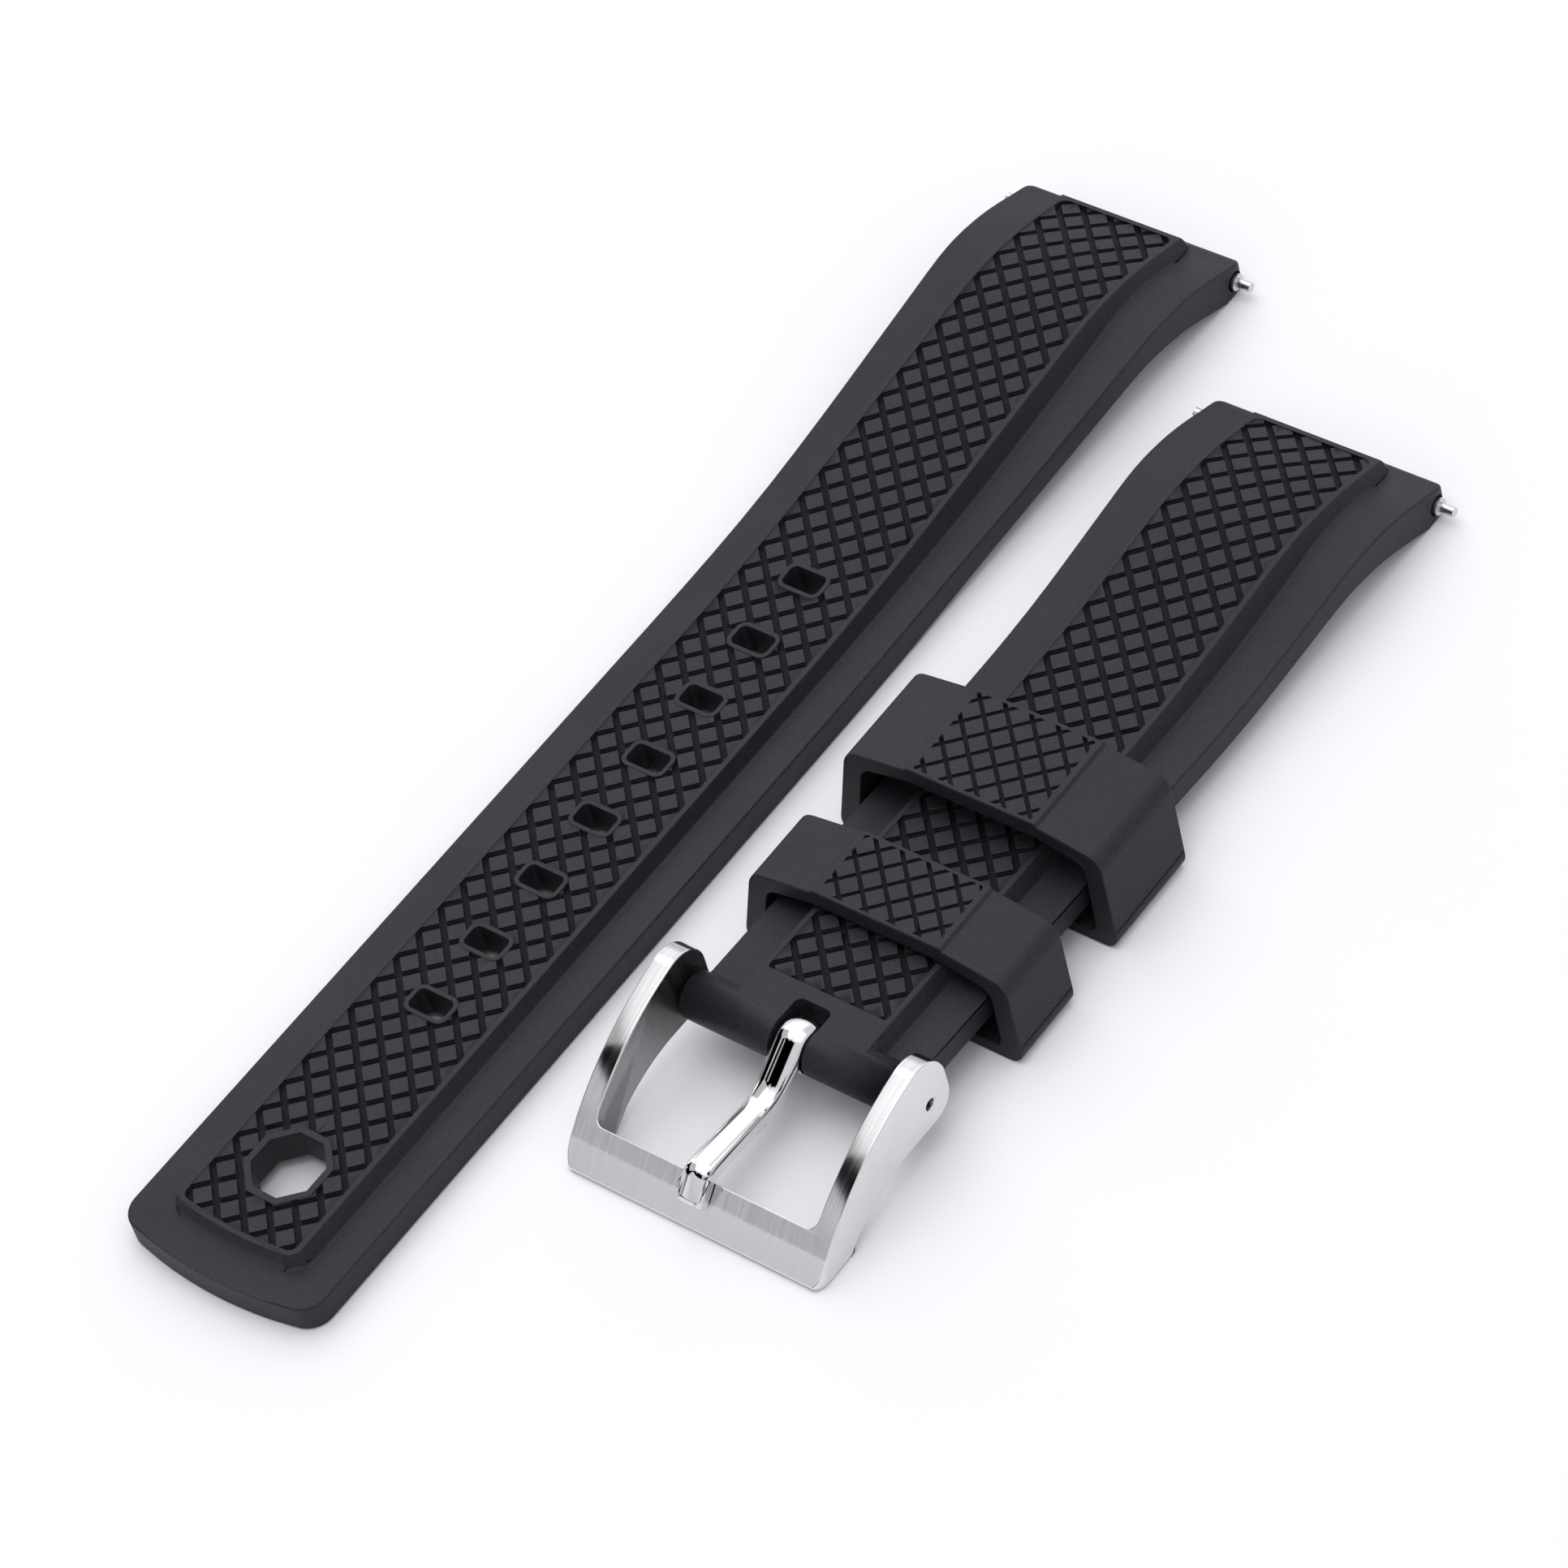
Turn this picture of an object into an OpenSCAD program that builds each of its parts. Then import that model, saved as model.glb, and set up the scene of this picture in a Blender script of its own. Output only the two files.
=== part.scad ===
/* [Pair as it lies] */
// Distance between the centre lines of the two halves
lay_gap = 29.2; // [27:0.1:60]
// How far the lug end of the buckle half lies behind that of the hole half
lay_stagger = 14; // [0:0.5:28]
// Rise of the buckle half towards its buckle, per millimetre of length
lay_rise = 0.039; // [0.035:0.001:0.043]

/* [Lug ends] */
// Width of both halves at the watch, for a case with this gap between its lugs
lug_w = 22; // [21:0.1:24]
// Radius of the lug end's corners in plan
lug_corner_r = 1.1; // [0.5:0.1:1.6]
// Height of the sharp corner above the spring bar, before it is rounded
lug_nose_z = 2.6; // [2.4:0.1:3]
// Radius of that corner
lug_nose_r = 1.1; // [0.8:0.1:1.3]
// Radius of the lower corner in front of the spring bar
lug_heel_r = 1.35; // [0.8:0.05:1.4]
// Length of the flat under the lug end that stands on the table
lug_foot_s = 3; // [2.8:0.1:3.6]
// Distance of the spring bar's axis from the lug end
lug_bar_s = 1.5; // [1.4:0.1:1.7]
// Height of the spring bar's axis
lug_bar_z = 1.4; // [1.3:0.05:1.5]

/* [Hump behind each lug end] */
// Distance of the flanges' crest from the lug end
crest_s = 9.2; // [8.6:0.1:10]
// Height of the flanges' crest before it is rounded
crest_z = 5.74; // [5.5:0.05:6]
// Radius of the flanges' crest
crest_r = 23; // [16:1:25]
// Distance of the panel's crest from the lug end
panel_crest_s = 11; // [10.6:0.1:11.6]
// Height of the panel's crest before it is rounded
panel_crest_z = 7.15; // [7:0.05:7.4]
// Radius of the panel's crest
panel_crest_r = 32; // [20:1:34]
// Distance of the hollow's crest under the hump from the lug end
hollow_s = 11.3; // [11:0.1:12]
// Height of the hollow's crest before it is rounded
hollow_z = 3.14; // [2.9:0.02:3.3]
// Radius of the hollow's crest
hollow_r = 21; // [14:1:23]

/* [Hole half] */
// Length of the hole half from its lug end to its tail
long_len = 124.3; // [118:0.1:134]
// Width of the tail
tail_w = 19.7; // [19:0.1:20.4]
// Radius of the tail's corners in plan
tail_corner_r = 2.2; // [1:0.1:2.4]
// Radius of the tail's bowed end
tail_bow_r = 38; // [30:1:38]
// Thickness of the flanges along the straight part
flange_t = 2.5; // [2.3:0.05:2.7]
// Thickness of the strap over its raised panel
panel_t = 3.77; // [3.6:0.01:3.9]
// Distance from the lug end to where the hump's slope reaches the straight part
long_ramp_s = 41; // [39:0.5:43]

/* [Buckle half] */
// Length from the lug end to the axis of the buckle's spring bar
short_len = 72; // [70:0.5:78]
// Height of that axis as the half lies
pin_z = 4.97; // [4.9:0.01:5.05]
// Width of the half just before the buckle
short_w = 20.4; // [20:0.1:20.6]
// Distance from the lug end to the foot of the hump
short_ramp_s = 28.6; // [27:0.2:30]
// Height of the flanges at the foot of the hump
short_flange_z = 3.87; // [3.8:0.01:3.95]
// Height of the panel at the foot of the hump
short_panel_z = 5.32; // [5.25:0.01:5.4]
// Height of the underside at the foot of the hump
short_under_z = 1.68; // [1.55:0.01:1.8]
// Radius of the rubber tube round the buckle's spring bar
eye_r = 2; // [1.9:0.02:2.1]
// Width of the slot for the tongue
slot_w = 3.3; // [3.2:0.1:4]
// How far the slot reaches behind the bar's axis
slot_back = 2.6; // [2.5:0.1:3]

/* [Raised panel] */
// Width of the panel inside its rim
panel_w = 11.3; // [10.8:0.1:11.6]
// Width of the rim round the panel
rim_w = 0.5; // [0.4:0.05:0.6]
// Slope of the panel's sides above the level, in degrees
side_slope = 62; // [58:1:70]
// Depth of the panel's floor below its rim
groove_d = 0.45; // [0.3:0.05:0.5]
// Number of pads side by side in a row across the panel, those cut by its rims counted as halves
pads_across = 4; // [3:1:5]
// Distance from one pad to the next along the hole half
long_pad_step = 2.83; // [2.7:0.01:3]
// Distance from one pad to the next along the buckle half
short_pad_step = 2.78; // [2.7:0.01:3]
// Width of a pad from side to side
pad_w = 1.48; // [1.3:0.02:1.56]
// How far the pads stay below the rim
pad_drop = 0.06; // [0.04:0.01:0.1]
// Distance of the rim's outer edge from the lug end
rim_lug_s = 1.6; // [1.5:0.1:2.2]
// Distance of the rim's outer edge from the tail
rim_tail_s = 3.6; // [3.2:0.1:5]
// Distance of the floor's end from the buckle's spring bar
panel_buckle_s = 3.9; // [3.6:0.1:5]
// Radius of the floor's corners in plan
panel_corner_r = 0.7; // [0.4:0.1:1.2]
// Depth of the channel under the panel
channel_d = 0.95; // [0.6:0.05:1]
// Width of the channel under the panel
channel_w = 9.6; // [8:0.1:10]

/* [Holes] */
// Number of holes for the tongue
hole_count = 8; // [5:1:8]
// Distance between two holes
hole_pitch = 7; // [6.5:0.1:7.2]
// Distance of the first hole from the lug end
hole_first_s = 47; // [46:0.5:50]
// Width of a hole across the strap
hole_w = 3.5; // [3.2:0.1:3.9]
// Length of a hole along the strap
hole_len = 2; // [1.8:0.1:2.4]
// Radius of a hole's corners
hole_corner_r = 0.5; // [0.3:0.1:0.7]
// Width of the raised rim round a hole
hole_rim = 0.42; // [0.3:0.02:0.5]
// Distance of the eight-sided hole from the tail
octagon_s = 10.7; // [9.5:0.1:12]
// Size of the eight-sided hole across its flats
octagon_af = 5.76; // [5.4:0.02:6]
// Width of the raised rim round it
octagon_rim = 0.6; // [0.4:0.05:0.7]

/* [Keepers] */
// Height of the large keeper
large_h = 9.24; // [9:0.02:10]
// Length of the large keeper along the strap
large_len = 9.4; // [8:0.1:10]
// Distance of the large keeper's middle from the lug end
large_s = 44; // [43.8:0.1:45]
// Height of the small keeper
small_h = 8.23; // [8.2:0.01:9]
// Length of the small keeper along the strap
small_len = 6.9; // [6:0.1:7]
// Distance of the small keeper's middle from the lug end
small_s = 58; // [57.5:0.1:58.4]
// Gap inside a keeper under its shoulders, from side to side
keeper_gap = 21.4; // [21.3:0.1:22]
// Thickness of a keeper's sides at their foot
keeper_side_t = 2.1; // [1.8:0.05:2.3]
// How much each side leans in towards its top
keeper_lean = 1.25; // [0.8:0.05:1.4]
// How much the keepers lean as they rest, with their feet towards the buckle, in degrees
keeper_tilt = 10.4; // [0:0.2:12]
// Thickness of a keeper's top under its raised panel
keeper_top_t = 1.35; // [1.1:0.05:1.36]
// Thickness of a keeper's bottom
keeper_bottom_t = 1; // [0.9:0.05:1.3]
// Distance from one pad of a keeper to the next, along the strap and across it
keeper_pad_step = 2.54; // [2.4:0.02:2.7]
// Width of a keeper's pads from side to side
keeper_pad_w = 1.45; // [1.3:0.05:1.5]
// Depth of the grooves between them
keeper_groove_d = 0.4; // [0.3:0.05:0.45]
// How far the small keeper's pads lie towards the buckle from its middle
small_pad_shift = -0.35; // [-1.2:0.05:1.2]

/* [Buckle] */
// Gap between the legs of the buckle
frame_gap = 21.2; // [21.1:0.1:22]
// Thickness of each leg
leg_t = 1.75; // [1.4:0.05:2]
// Distance from the pin to the buckle's front edge
frame_reach = 16; // [15.6:0.02:18]
// Width of the bar on top, where the tongue rests
bar_top_w = 1.3; // [1.2:0.05:1.8]
// Radius of the buckle's front corners in plan
frame_corner_r = 1.5; // [1:0.1:2.4]
// Radius of the pin holes in the legs
pin_hole_r = 0.5; // [0.48:0.01:0.52]
// Width of the tongue at the pin
tongue_root_w = 2.9; // [2.4:0.1:3]
// Width of the tongue at its waist
tongue_waist_w = 2.2; // [1.8:0.1:2.4]
// Width of the tongue near its tip
tongue_tip_w = 2.5; // [2.2:0.1:2.8]
// Thickness of the tongue
tongue_t = 1.25; // [1:0.05:1.4]
// Radius of the tongue's curl round the spring bar
curl_r = 2.1; // [1.9:0.05:2.2]

/* [Spring bars] */
// Radius of a spring bar's tube
bar_r = 0.75; // [0.7:0.01:0.78]
// Wall of the tube
bar_wall = 0.2; // [0.18:0.01:0.22]
// Radius of the tips
tip_r = 0.42; // [0.4:0.01:0.44]
// Length of a tip beyond its shoulder
tip_len = 1.35; // [1.2:0.05:1.5]
// Thickness of a shoulder
shoulder_t = 0.55; // [0.53:0.01:0.6]
// How far a shoulder stands past the edge of a lug end
shoulder_out = 0.3; // [0.2:0.05:0.4]
// Travel of each tip
tip_travel = 1.65; // [1.4:0.05:1.7]
// Turns of the spring
spring_turns = 12; // [8:1:14]

/* [Hidden] */

rubber = [0.2, 0.2, 0.22];
steel = [0.76, 0.77, 0.78];

// How far the short straight pieces of an arc may lie from the true arc
arc_error = 0.01;
// Half a corner's angle, in degrees, from which its two sides count as one straight line
straight_half = 89.9;
// Straight pieces in a full turn of a sloped post
post_pieces = 180;
// How far a cutting block stands past what it cuts
past = 1;
// Higher and wider than anything that a block has to reach across
tall = 20;
wide = 40;

// Clearance of a spring bar in its rubber bore and in the tongue's curl
bore_gap = 0.1;
curl_gap = 0.05;
// Clearance of a tip's stem in the tube's rolled end, and of its collar in the tube
stem_gap = 0.03;
collar_gap = 0.05;
// Length of the tube's rolled ends and of the collars inside it
roll_t = 0.4;
collar_t = 0.7;
// Gap between a shoulder, pressed in, and the tube
press_gap = 0.1;
spring_wire_r = 0.09;
// Gap between the tongue and the bar that it rests on
rest_gap = 0.1;
// How deep one piece of rubber starts inside the other
root = 1.2;

// Extra room round the bars at the watch, which are pushed in by hand
hand_gap = 0.07;
lug_bore_r = bar_r + bore_gap + hand_gap;
eye_bore_r = bar_r + bore_gap;
rim_out_w = panel_w + 2 * rim_w;
channel_r = 2;
slope_run = 1 / tan(side_slope);

// Corner points of an outline are [x, y, radius]
function unit(v) = v / norm(v);

// Arc that rounds one corner between the points before and after it
function corner_arc(before, corner, after) =
    let(
        p = [corner.x, corner.y],
        u = unit([before.x, before.y] - p),
        v = unit([after.x, after.y] - p),
        r = corner[2],
        half = acos(u * v) / 2
    )
    r == 0 || half > straight_half ? [p] :
    let(
        middle = p + unit(u + v) * r / sin(half),
        start = p + u * r / tan(half) - middle,
        stop = p + v * r / tan(half) - middle,
        side = sign(start.x * stop.y - start.y * stop.x),
        turn = 180 - 2 * half,
        steps = ceil(turn / (2 * acos(1 - arc_error / r))),
        first = atan2(start.y, start.x)
    )
    [for (i = [0 : steps]) let(at = first + side * turn * i / steps) middle + r * [cos(at), sin(at)]];

// Outline through all corners, each rounded by its own radius
function rounded(corners) =
    let(n = len(corners))
    [for (i = [0 : n - 1]) each corner_arc(corners[(i + n - 1) % n], corners[i], corners[(i + 1) % n])];

function backwards(list) = [for (i = [len(list) - 1 : -1 : 0]) list[i]];

// Both sides of an outline whose right side is given from top to bottom
function both_sides(right) = concat(right, [for (c = backwards(right)) if (c.x != 0) [-c.x, c.y, c[2]]]);

// Share of the half width that sets the slope of a bowed end's straight parts
bow_share = 0.75;
// Right half of a bowed end at y = -end, as its corner and the middle of its bow
function bowed_end(half_w, end, bow_r, corner_r) =
    let(
        slope = bow_share * half_w / bow_r,
        tip = end + bow_r * (sqrt(1 + slope * slope) - 1)
    )
    [[half_w, -tip + half_w * slope, corner_r], [0, -tip, bow_r]];

lug_foot_r = 1;
// Radii in plan where the halves begin and end their taper
hip_r = 60;
taper_r = 300;

// Lines along a half, from the lug end to its other end: [y, z, radius]
function flange_line(ramp_s, ramp_z, ramp_r, end_s, end_z) = [
    [0, lug_nose_z, lug_nose_r],
    [-crest_s, crest_z, crest_r],
    [-ramp_s, ramp_z, ramp_r],
    [-end_s, end_z, 0]
];
function under_line(ramp_s, ramp_z, ramp_r, end_s, end_z) = [
    [0, 0, lug_heel_r],
    [-lug_foot_s, 0, lug_foot_r],
    [-hollow_s, hollow_z, hollow_r],
    [-ramp_s, ramp_z, ramp_r],
    [-end_s, end_z, 0]
];
// Fall of the panel's line from its crest to the lug end, per millimetre
panel_drop = 0.28;
function panel_line(start_s, ramp_s, ramp_z, ramp_r, end_s, end_z) = [
    [-start_s, panel_crest_z - panel_drop * (panel_crest_s - start_s), 0],
    [-panel_crest_s, panel_crest_z, panel_crest_r],
    [-ramp_s, ramp_z, ramp_r],
    [-end_s, end_z, 0]
];
function moved(line, dz) = [for (c = line) [c.x, c.y + dz, c[2]]];

// Hole half
long_ramp_r = 280;
long_panel_ramp_s = long_ramp_s + 5.5;
long_panel_ramp_r = 190;
long_under_ramp_s = long_ramp_s + 5;
long_under_ramp_r = 150;
long_flange = flange_line(long_ramp_s, flange_t, long_ramp_r, long_len + past, flange_t);
long_under = under_line(long_under_ramp_s, 0, long_under_ramp_r, long_len + past, 0);
function long_panel(from_s, to_s) =
    panel_line(from_s, long_panel_ramp_s, panel_t, long_panel_ramp_r, to_s, panel_t);

// Buckle half, whose straight part rises towards the buckle
short_ramp_r = 97;
short_panel_ramp_s = short_ramp_s + 2.6;
short_panel_ramp_r = 125;
short_under_ramp_r = 90;
// Where the buckle half's strong taper ends, and how much it narrows on each side from there
short_taper_len = 12;
short_taper_s = short_ramp_s + short_taper_len;
short_taper = 0.2;
slot_corner_r = 0.6;
// Radius of the corners of the panel's floor at the buckle
short_panel_corner_r = 0.2;
// Distance from the lug end to the pad on which the lattice is centred
short_lattice_s = 33;
function risen(z, from_s, to_s) = z + lay_rise * (to_s - from_s);
short_flange = flange_line(
    short_ramp_s, short_flange_z, short_ramp_r, short_len, risen(short_flange_z, short_ramp_s, short_len)
);
short_under = under_line(
    short_ramp_s, short_under_z, short_under_ramp_r, short_len, risen(short_under_z, short_ramp_s, short_len)
);
function short_panel(from_s, to_s) = panel_line(
    from_s, short_panel_ramp_s, short_panel_z, short_panel_ramp_r,
    to_s, risen(short_panel_z, short_panel_ramp_s, to_s)
);

// Lattice of square pads that stand on their corners, in plan, with one at the middle
module lattice(across, along, rows, w) {
    columns = ceil(panel_w / across);
    for (row = [-rows : rows])
        for (column = [-columns : columns])
            if ((column + row) % 2 == 0)
                translate([column * across / 2, row * along / 2])
                    rotate(45)
                        square(w, center = true);
}

module pads(half_len, step) {
    lattice(panel_w / pads_across, step, 2 * ceil(half_len / step), pad_w);
}

module keeper_pads(len) {
    lattice(keeper_pad_step, keeper_pad_step, ceil(len / keeper_pad_step) + 1, keeper_pad_w);
}

// Turns a drawing of y and z into a solid across the strap
module across(w) {
    rotate([90, 0, 90])
        linear_extrude(w, center = true)
            children();
}

// Turns a drawing of x and z into a solid along the strap
module lengthwise(len) {
    rotate([90, 0, 0])
        linear_extrude(len, center = true)
            children();
}

// Space under a line, down to a level
module under(line, low = -tall) {
    across(wide)
        polygon(concat(rounded_line(line), [[line[len(line) - 1].x, low], [line[0].x, low]]));
}

// Space above a line
module above(line) {
    across(wide)
        polygon(concat(rounded_line(line), [[line[len(line) - 1].x, tall], [line[0].x, tall]]));
}

// An open line with its inner corners rounded
function rounded_line(line) = [
    for (i = [0 : len(line) - 1])
        each i == 0 || i == len(line) - 1 ?
            [[line[i].x, line[i].y]] :
            corner_arc(line[i - 1], line[i], line[i + 1])
];

// Space inside one sloped side of the raised panel, which follows the panel's line
module sloped_side(line) {
    x = rim_out_w / 2;
    raised = [for (p = rounded_line(line)) [p.x, x * sin(side_slope) + p.y * cos(side_slope)]];
    rotate([0, side_slope, 0])
        across(wide)
            polygon(concat(raised, [[line[len(line) - 1].x, -wide], [line[0].x, -wide]]));
}

// Raised part of a half: the line of its top, and the line inside the flanges where it starts
module raised_body(line, start) {
    intersection() {
        across(wide)
            polygon(concat(rounded_line(line), [for (c = backwards(start)) [c.x, c.y]]));
        sloped_side(line);
        mirror([1, 0, 0])
            sloped_side(line);
    }
}

// Rectangle with rounded corners
module slab_plan(w, len, r) {
    corners = [[w / 2, len / 2, r], [-w / 2, len / 2, r], [-w / 2, -len / 2, r], [w / 2, -len / 2, r]];
    polygon(rounded(corners));
}

module upright(low = -past, high = tall) {
    translate([0, 0, low])
        linear_extrude(high - low)
            children();
}

module octagon_plan(af) {
    rotate(22.5)
        circle(d = af / cos(22.5), $fn = 8);
}

module cross_bore(y, z, r) {
    translate([0, y, z])
        rotate([0, 90, 0])
            cylinder(h = wide, r = r, center = true, $fn = 48);
}

// Round post that is r wide at the panel's height and widens downwards as steeply as the panel's sides
module sloped_post(r, low) {
    translate([0, 0, low])
        cylinder(
            h = panel_t + past - low,
            r1 = r + (panel_t - low) * slope_run,
            r2 = r - past * slope_run,
            $fn = post_pieces
        );
}

// What lies outside the bowed end of the raised panel at the tail and outside its two corners
module beyond_panel_end(end_s) {
    low = flange_t - root - past;
    corner_r = panel_corner_r + rim_w;
    bow_y = tail_bow_r - end_s;
    corner_x = rim_out_w / 2 - corner_r;
    corner_angle = asin(corner_x / (tail_bow_r - corner_r));
    difference() {
        translate([-wide / 2, -long_len - past, low])
            cube([wide, long_len - end_s + 3 * past, tall]);
        translate([0, bow_y, 0])
            sloped_post(tail_bow_r, low - past);
    }
    for (side = [0, 1])
        mirror([side, 0, 0])
            translate([corner_x, bow_y - (tail_bow_r - corner_r) * cos(corner_angle), 0])
                difference() {
                    upright(low)
                        polygon([
                            [0, 0],
                            [tall, 0],
                            [tall, -tall],
                            [tall * sin(corner_angle), -tall * cos(corner_angle)]
                        ]);
                    sloped_post(corner_r, low - past);
                }
}

// Flanges and body of the hole half
module long_body() {
    rim_end_s = long_len - rim_tail_s;
    side = concat(long_flange, backwards(long_under));
    plan = both_sides(concat(
        [
            [lug_w / 2, 0, lug_corner_r],
            [lug_w / 2, -panel_crest_s, hip_r],
            [tail_w / 2, -long_ramp_s, taper_r]
        ],
        bowed_end(tail_w / 2, long_len, tail_bow_r, tail_corner_r)
    ));
    top = concat(
        [[-rim_lug_s + root * slope_run, long_panel(rim_lug_s, rim_end_s)[0].y - root, 0]],
        long_panel(rim_lug_s, rim_end_s + past),
        [[-rim_end_s - past, flange_t - root, 0]]
    );
    intersection() {
        across(wide)
            polygon(rounded(side));
        upright()
            polygon(rounded(plan));
    }
    difference() {
        raised_body(top, [for (c = moved(long_flange, -root)) if (c.x < 0 && c.x > -rim_end_s) c]);
        beyond_panel_end(rim_end_s);
    }
}

// Inside of the hole half's panel in plan
module long_panel_plan() {
    polygon(rounded(both_sides(concat(
        [[panel_w / 2, -rim_lug_s - rim_w, panel_corner_r]],
        bowed_end(panel_w / 2, long_len - rim_tail_s - rim_w, tail_bow_r, panel_corner_r)
    ))));
}

// Places what repeats with the holes, in plan
module at_holes() {
    for (i = [0 : hole_count - 1])
        translate([0, -hole_first_s - i * hole_pitch])
            children();
}

module at_octagon() {
    translate([0, -long_len + octagon_s])
        children();
}

// The panel's inside without the rims round its holes
module long_recess_plan() {
    difference() {
        long_panel_plan();
        at_holes()
            slab_plan(hole_w + 2 * hole_rim, hole_len + 2 * hole_rim, hole_corner_r + hole_rim);
        at_octagon()
            octagon_plan(octagon_af + 2 * octagon_rim);
    }
}

// Number of the hole, from the lug end and from 0, on which the lattice is centred
lattice_hole = 2;

module hole_strap() {
    channel_end_s = long_len - rim_tail_s - channel_r;
    channel_len = channel_end_s - hollow_s - channel_r;
    color(rubber)
        difference() {
            long_body();
            intersection() {
                above(moved(long_panel(0, long_len), -pad_drop));
                upright()
                    long_recess_plan();
            }
            intersection() {
                above(moved(long_panel(0, long_len), -groove_d));
                upright()
                    difference() {
                        long_recess_plan();
                        translate([0, -hole_first_s - lattice_hole * hole_pitch])
                            pads(long_len, long_pad_step);
                    }
            }
            intersection() {
                under(moved(long_under, channel_d));
                translate([0, channel_len / 2 - channel_end_s, 0])
                    upright()
                        slab_plan(channel_w, channel_len, channel_r);
            }
            upright()
                at_holes()
                    slab_plan(hole_w, hole_len, hole_corner_r);
            upright()
                at_octagon()
                    octagon_plan(octagon_af);
            cross_bore(-lug_bar_s, lug_bar_z, lug_bore_r);
        }
}

// Inside of the buckle half's panel in plan
module short_panel_plan() {
    polygon(rounded(both_sides([
        [panel_w / 2, -rim_lug_s - rim_w, panel_corner_r],
        [panel_w / 2, -short_len + panel_buckle_s, short_panel_corner_r]
    ])));
}

module buckle_strap() {
    side = concat(short_flange, backwards(short_under));
    plan = both_sides([
        [lug_w / 2, 0, lug_corner_r],
        [lug_w / 2, -panel_crest_s, hip_r],
        [short_w / 2 + short_taper, -short_taper_s, taper_r],
        [short_w / 2, -short_len, 0]
    ]);
    top = concat(
        [[-rim_lug_s + root * slope_run, short_panel(rim_lug_s, short_len)[0].y - root, 0]],
        short_panel(rim_lug_s, short_len)
    );
    color(rubber)
        difference() {
            union() {
                difference() {
                    union() {
                        intersection() {
                            across(wide)
                                polygon(rounded(side));
                            upright()
                                polygon(rounded(plan));
                        }
                        raised_body(top, [for (c = moved(short_flange, -root)) if (c.x < 0) c]);
                    }
                    intersection() {
                        above(moved(short_panel(0, short_len), -pad_drop));
                        upright()
                            short_panel_plan();
                    }
                    intersection() {
                        above(moved(short_panel(0, short_len), -groove_d));
                        upright()
                            difference() {
                                short_panel_plan();
                                translate([0, -short_lattice_s])
                                    pads(short_len, short_pad_step);
                            }
                    }
                }
                translate([0, -short_len, pin_z])
                    rotate([0, 90, 0])
                        cylinder(h = short_w, r = eye_r, center = true, $fn = 96);
            }
            translate([0, -short_len + (slot_back - eye_r - past) / 2, 0])
                upright()
                    slab_plan(slot_w, slot_back + eye_r + past, slot_corner_r);
            cross_bore(-lug_bar_s, lug_bar_z, lug_bore_r);
            cross_bore(-short_len, pin_z, eye_bore_r);
        }
}

// Keepers: step up to the panel, drop from the top to the shoulders, and radii outside and inside
keeper_step = 0.25;
keeper_step_r = 0.1;
keeper_drop = 1;
keeper_shoulder_r = 1.6;
keeper_foot_r = 1.1;
keeper_inner_drop = 0.8;
// How far the inside widens on each side, down to its bottom
keeper_flare = 0.75;
keeper_ceiling_r = 1;
keeper_inner_r = 1.2;
keeper_corner_r = 0.6;
keeper_edge = 0.33;
keeper_field_r = 0.15;

// Rubber loop of the given height and length, whose pads lie off its middle by a shift
module keeper(h, len, pad_shift) {
    foot_w = keeper_gap / 2 + keeper_flare + keeper_side_t;
    whole_len = len + 2 * (h + past) * tan(keeper_tilt);
    top_y = past * tan(keeper_tilt);
    low_y = -(h + past) * tan(keeper_tilt);
    color(rubber)
        difference() {
            intersection() {
                lengthwise(whole_len)
                    polygon(rounded(both_sides([
                        [rim_out_w / 2, h, keeper_step_r],
                        [rim_out_w / 2 + keeper_step, h - keeper_step, keeper_step_r],
                        [foot_w - keeper_lean, h - keeper_drop, keeper_shoulder_r],
                        [foot_w, 0, keeper_foot_r]
                    ])));
                across(wide)
                    polygon([
                        [len / 2 + top_y, h + past],
                        [-len / 2 + top_y, h + past],
                        [-len / 2 + low_y, -past],
                        [len / 2 + low_y, -past]
                    ]);
            }
            lengthwise(whole_len + 2 * past)
                polygon(rounded(both_sides([
                    [rim_out_w / 2, h - keeper_top_t, keeper_ceiling_r],
                    [keeper_gap / 2, h - keeper_top_t - keeper_inner_drop, keeper_inner_r],
                    [keeper_gap / 2 + keeper_flare, keeper_bottom_t, keeper_corner_r]
                ])));
            translate([0, 0, h - keeper_groove_d])
                linear_extrude(tall)
                    difference() {
                        slab_plan(panel_w, len - 2 * keeper_edge, keeper_field_r);
                        translate([0, pad_shift])
                            keeper_pads(len);
                    }
        }
}

module keeper_large() {
    keeper(large_h, large_len, 0);
}

module keeper_small() {
    keeper(small_h, small_len, small_pad_shift);
}

// Frame of the buckle, drawn from the pin's axis: the top of its bar slopes down at 45 degrees
bar_w = 3.16;
bar_back = frame_reach - bar_w;
bar_slope_y = bar_back + bar_top_w;
bar_drop = 1.47;
bar_toe_r = 0.3;
// Rise of the legs' top edge from the bar, its bend, and the ears round the pin
leg_rise = [5.44, 5.51];
leg_bend_r = 25;
ear_reach = 2.35;
ear_top_z = 5.05;
ear_top_r = 2.8;
ear_low_z = -2.2;
ear_low_r = 2.1;
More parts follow.
